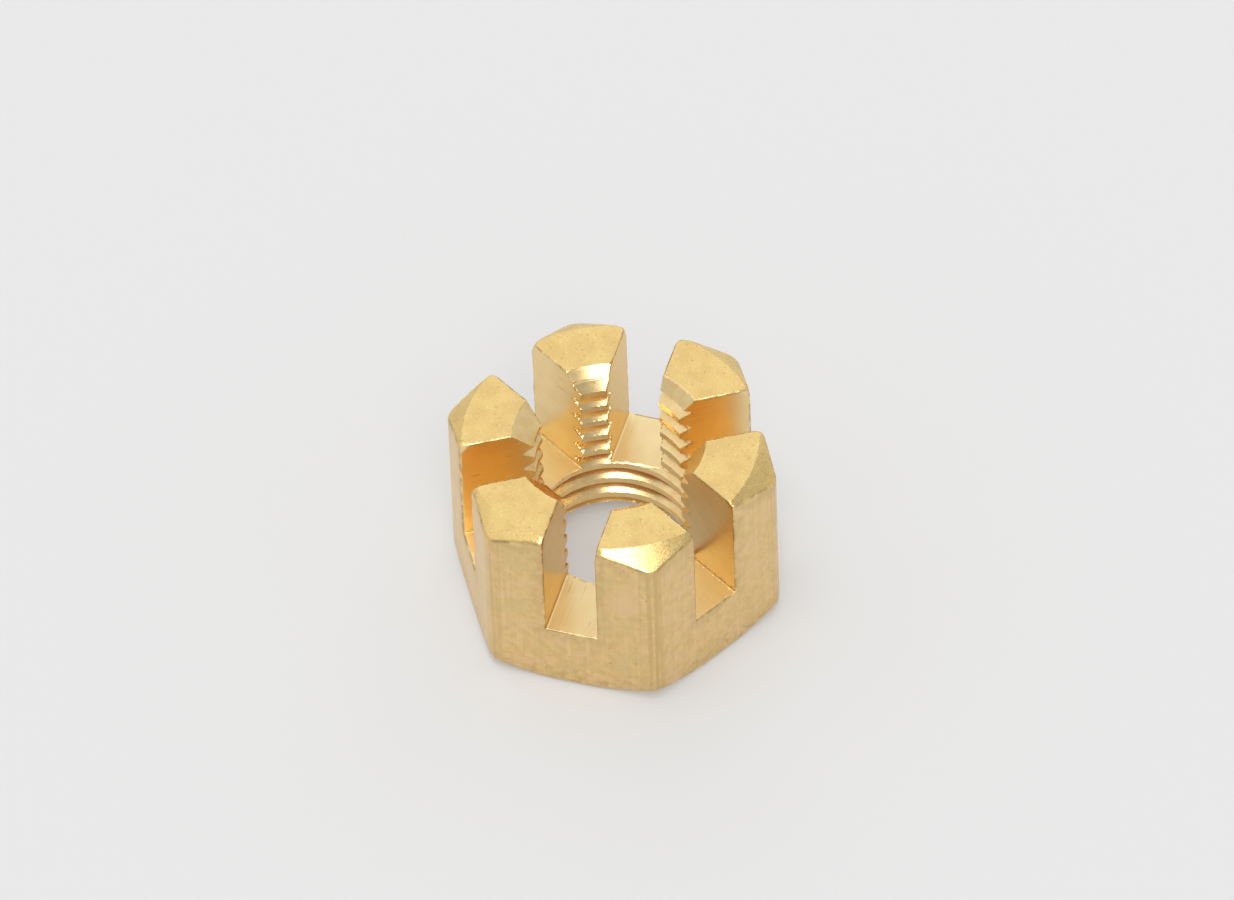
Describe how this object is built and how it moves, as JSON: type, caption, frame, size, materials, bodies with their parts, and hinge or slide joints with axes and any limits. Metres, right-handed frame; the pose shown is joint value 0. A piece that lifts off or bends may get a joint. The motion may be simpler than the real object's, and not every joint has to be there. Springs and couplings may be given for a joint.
{
  "type": "slotted hex nut",
  "caption": "Hexagonal nut with a threaded through bore and deep radial slots across its top for a locking pin or wire.",
  "frame": {"origin": "centre of the bearing face, on the bore axis", "axes": "+Z along the bore axis, from the bearing face to the slotted end; +Y is normal to one pair of flats and +X points at a corner"},
  "size_m": [0.0196, 0.017, 0.0117],
  "materials": {
    "brass": "satin, tumbled outside and freshly cut in the slots and thread"
  },
  "bodies": {
    "root": {"slotted_nut": "brass"}
  },
  "joints": []
}
